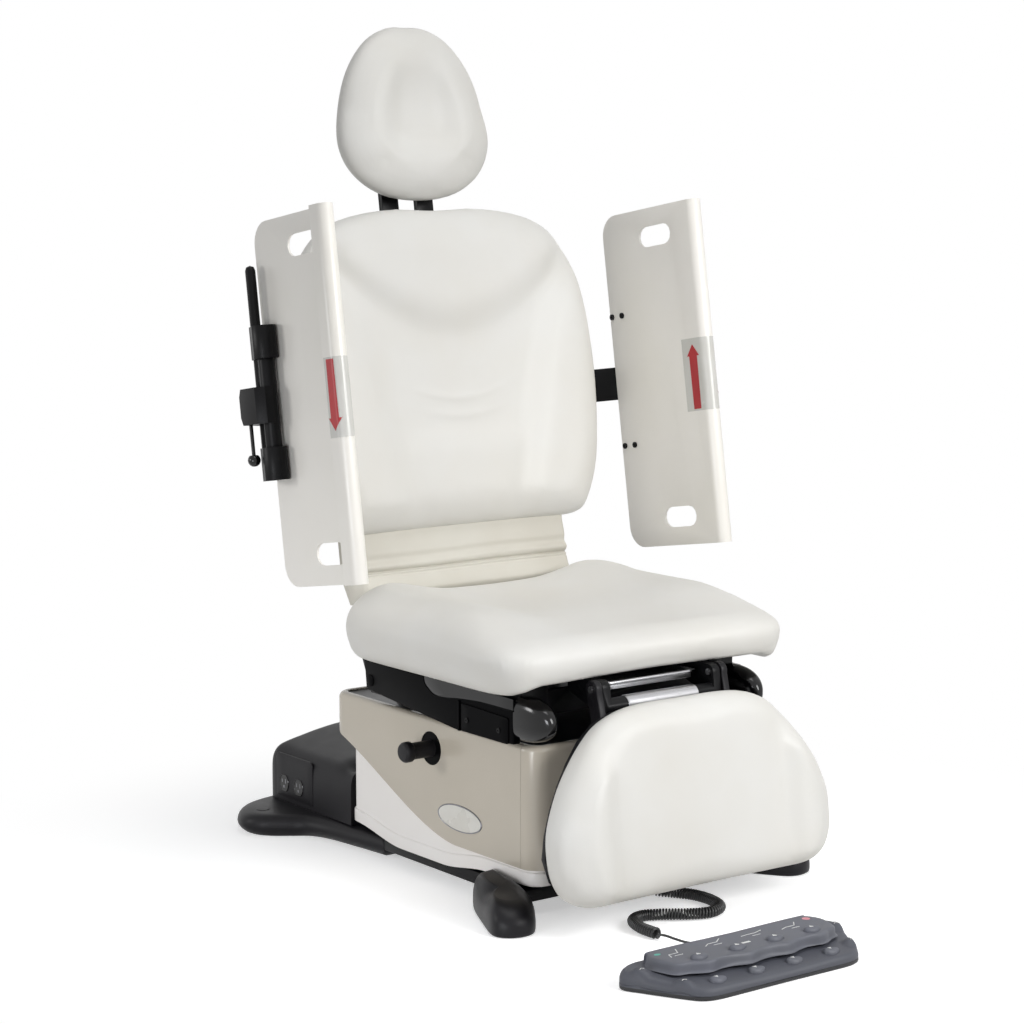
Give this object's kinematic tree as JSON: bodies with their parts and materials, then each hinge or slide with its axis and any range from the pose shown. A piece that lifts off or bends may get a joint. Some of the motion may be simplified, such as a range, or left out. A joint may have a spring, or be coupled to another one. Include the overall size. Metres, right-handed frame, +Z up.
{
  "type": "procedure chair",
  "caption": "Powered procedure chair with padded seat, reclining back, tilting head pad, swing-up foot pad, swing-out side rails, lifting base and corded foot control.",
  "frame": {"origin": "centre of the footprint on the floor, the foot control included and its cord left out", "axes": "+Z up; -Y to the front, where the foot pad is; -X to the patient's right"},
  "size_m": [0.939, 1.4331, 1.5597],
  "materials": {
    "warm_white_vinyl": "smooth satin vinyl upholstery",
    "off_white_powder_coat": "satin powder coat",
    "beige_moulded_plastic": "smooth moulded plastic",
    "pale_moulded_plastic": "smooth moulded plastic",
    "black_textured_plastic": "fine grained plastic",
    "black_gloss_plastic": "polished plastic",
    "black_coated_steel": "black satin coat",
    "bright_steel": "brushed",
    "grey_rubber": "matt moulded rubber",
    "dark_rubber": "matt moulded rubber",
    "black_cord_jacket": "smooth cord jacket"
  },
  "bodies": {
    "base": {"base_frame": "black_coated_steel", "front_foot_right": "black_textured_plastic", "front_foot_left": "black_textured_plastic", "rear_base_cover": "black_textured_plastic", "power_box": "black_textured_plastic", "outlet_panel": "black_gloss_plastic", "lower_shroud": "pale_moulded_plastic", "lift_column_outer": "black_coated_steel", "lift_motor": "black_coated_steel", "foot_control_base": "dark_rubber", "foot_control_cover": "grey_rubber", "cord_lead": "black_cord_jacket", "cord_curl": "black_cord_jacket", "cord_plug": "black_gloss_plastic"},
    "middle_stage": {"middle_shroud": "pale_moulded_plastic", "lift_column_middle": "black_coated_steel"},
    "carriage": {"upper_shroud": "beige_moulded_plastic", "upper_front_cover": "beige_moulded_plastic", "carriage_plate": "black_coated_steel", "lift_column_inner": "black_coated_steel", "tilt_pin": "bright_steel"},
    "handle": {"side_handle": "black_textured_plastic"},
    "seat": {"seat_frame": "black_coated_steel", "side_cover_right": "black_textured_plastic", "side_cover_left": "black_textured_plastic", "nose_right": "black_gloss_plastic", "nose_left": "black_gloss_plastic", "seat_cushion": "warm_white_vinyl", "back_hinge_pin": "bright_steel", "foot_hinge_pin_right": "bright_steel", "foot_hinge_pin_left": "bright_steel"},
    "pan": {"treatment_pan": "bright_steel"},
    "back": {"back_frame": "black_coated_steel", "back_cushion": "warm_white_vinyl", "lumbar_apron": "warm_white_vinyl", "headrest_guide": "black_coated_steel", "rail_bracket_right": "black_coated_steel", "rail_bracket_left": "black_coated_steel", "rail_pivot_tube_right": "black_coated_steel", "rail_pivot_tube_left": "black_coated_steel"},
    "head_post": {"headrest_post": "black_coated_steel"},
    "head": {"headrest_plate": "black_coated_steel", "headrest_cushion": "warm_white_vinyl"},
    "rail_right": {"rail_panel_right": "off_white_powder_coat", "rail_hinge_right": "black_coated_steel"},
    "rail_left": {"rail_panel_left": "off_white_powder_coat", "rail_hinge_left": "black_coated_steel"},
    "release_right": {"release_knob_right": "black_gloss_plastic"},
    "release_left": {"release_knob_left": "black_gloss_plastic"},
    "foot": {"foot_board": "black_textured_plastic", "foot_cushion": "warm_white_vinyl"},
    "button_front_1": {"button_front_1": "grey_rubber"},
    "button_front_2": {"button_front_2": "grey_rubber"},
    "button_front_3": {"button_front_3": "grey_rubber"},
    "button_front_4": {"button_front_4": "grey_rubber"},
    "button_rear_1": {"button_rear_1": "grey_rubber"},
    "button_rear_2": {"button_rear_2": "grey_rubber"},
    "button_rear_3": {"button_rear_3": "grey_rubber"},
    "button_rear_4": {"button_rear_4": "grey_rubber"}
  },
  "joints": [
    {"name": "lift", "type": "slide", "parent": "base", "child": "carriage", "axis": [0, 0, 1], "range_m": [0, 0.36]},
    {"name": "middle_lift", "type": "slide", "parent": "base", "child": "middle_stage", "axis": [0, 0, 1], "range_m": [0, 0.18]},
    {"name": "handle_turn", "type": "hinge", "parent": "carriage", "child": "handle", "pos_m": [-0.2414, 0.115, 0.246], "axis": [-1, 0, 0], "range_deg": [0, 90]},
    {"name": "seat_tilt", "type": "hinge", "parent": "carriage", "child": "seat", "pos_m": [0, 0.291, 0.336], "axis": [-1, 0, 0], "range_deg": [0, 20]},
    {"name": "pan_slide", "type": "slide", "parent": "seat", "child": "pan", "axis": [0, -1, 0], "range_m": [0, 0.2]},
    {"name": "back_recline", "type": "hinge", "parent": "seat", "child": "back", "pos_m": [0, 0.341, 0.43], "axis": [-1, 0, 0], "range_deg": [0, 81]},
    {"name": "headrest_height", "type": "slide", "parent": "back", "child": "head_post", "axis": [0, 0.1564, 0.9877], "range_m": [0, 0.12]},
    {"name": "headrest_tilt", "type": "hinge", "parent": "head_post", "child": "head", "pos_m": [0, 0.53875, 1.24792], "axis": [-1, 0, 0], "range_deg": [-35, 15]},
    {"name": "foot_swing", "type": "hinge", "parent": "seat", "child": "foot", "pos_m": [0, -0.234, 0.4], "axis": [-1, 0, 0], "range_deg": [0, 82]},
    {"name": "rail_swing_right", "type": "hinge", "parent": "back", "child": "rail_right", "pos_m": [-0.431, 0.34126, 0.8327], "axis": [0, -0.1564, -0.9877], "range_deg": [0, 90]},
    {"name": "release_pull_right", "type": "slide", "parent": "back", "child": "release_right", "axis": [0, -0.1564, -0.9877], "range_m": [0, 0.01], "stiffness_N_per_m": 300, "springref_m": -0.005},
    {"name": "rail_swing_left", "type": "hinge", "parent": "back", "child": "rail_left", "pos_m": [0.431, 0.34126, 0.8327], "axis": [0, 0.1564, 0.9877], "range_deg": [0, 90]},
    {"name": "release_pull_left", "type": "slide", "parent": "back", "child": "release_left", "axis": [0, -0.1564, -0.9877], "range_m": [0, 0.01], "stiffness_N_per_m": 300, "springref_m": -0.005},
    {"name": "press_front_1", "type": "slide", "parent": "base", "child": "button_front_1", "axis": [0, 0, -1], "range_m": [0, 0.002], "stiffness_N_per_m": 300, "springref_m": -0.002},
    {"name": "press_front_2", "type": "slide", "parent": "base", "child": "button_front_2", "axis": [0, 0, -1], "range_m": [0, 0.002], "stiffness_N_per_m": 300, "springref_m": -0.002},
    {"name": "press_front_3", "type": "slide", "parent": "base", "child": "button_front_3", "axis": [0, 0, -1], "range_m": [0, 0.002], "stiffness_N_per_m": 300, "springref_m": -0.002},
    {"name": "press_front_4", "type": "slide", "parent": "base", "child": "button_front_4", "axis": [0, 0, -1], "range_m": [0, 0.002], "stiffness_N_per_m": 300, "springref_m": -0.002},
    {"name": "press_rear_1", "type": "slide", "parent": "base", "child": "button_rear_1", "axis": [0, 0, -1], "range_m": [0, 0.002], "stiffness_N_per_m": 300, "springref_m": -0.002},
    {"name": "press_rear_2", "type": "slide", "parent": "base", "child": "button_rear_2", "axis": [0, 0, -1], "range_m": [0, 0.002], "stiffness_N_per_m": 300, "springref_m": -0.002},
    {"name": "press_rear_3", "type": "slide", "parent": "base", "child": "button_rear_3", "axis": [0, 0, -1], "range_m": [0, 0.002], "stiffness_N_per_m": 300, "springref_m": -0.002},
    {"name": "press_rear_4", "type": "slide", "parent": "base", "child": "button_rear_4", "axis": [0, 0, -1], "range_m": [0, 0.002], "stiffness_N_per_m": 300, "springref_m": -0.002}
  ],
  "couplings": [
    {"joint": "middle_lift", "follows": "lift", "ratio": 0.5}
  ]
}
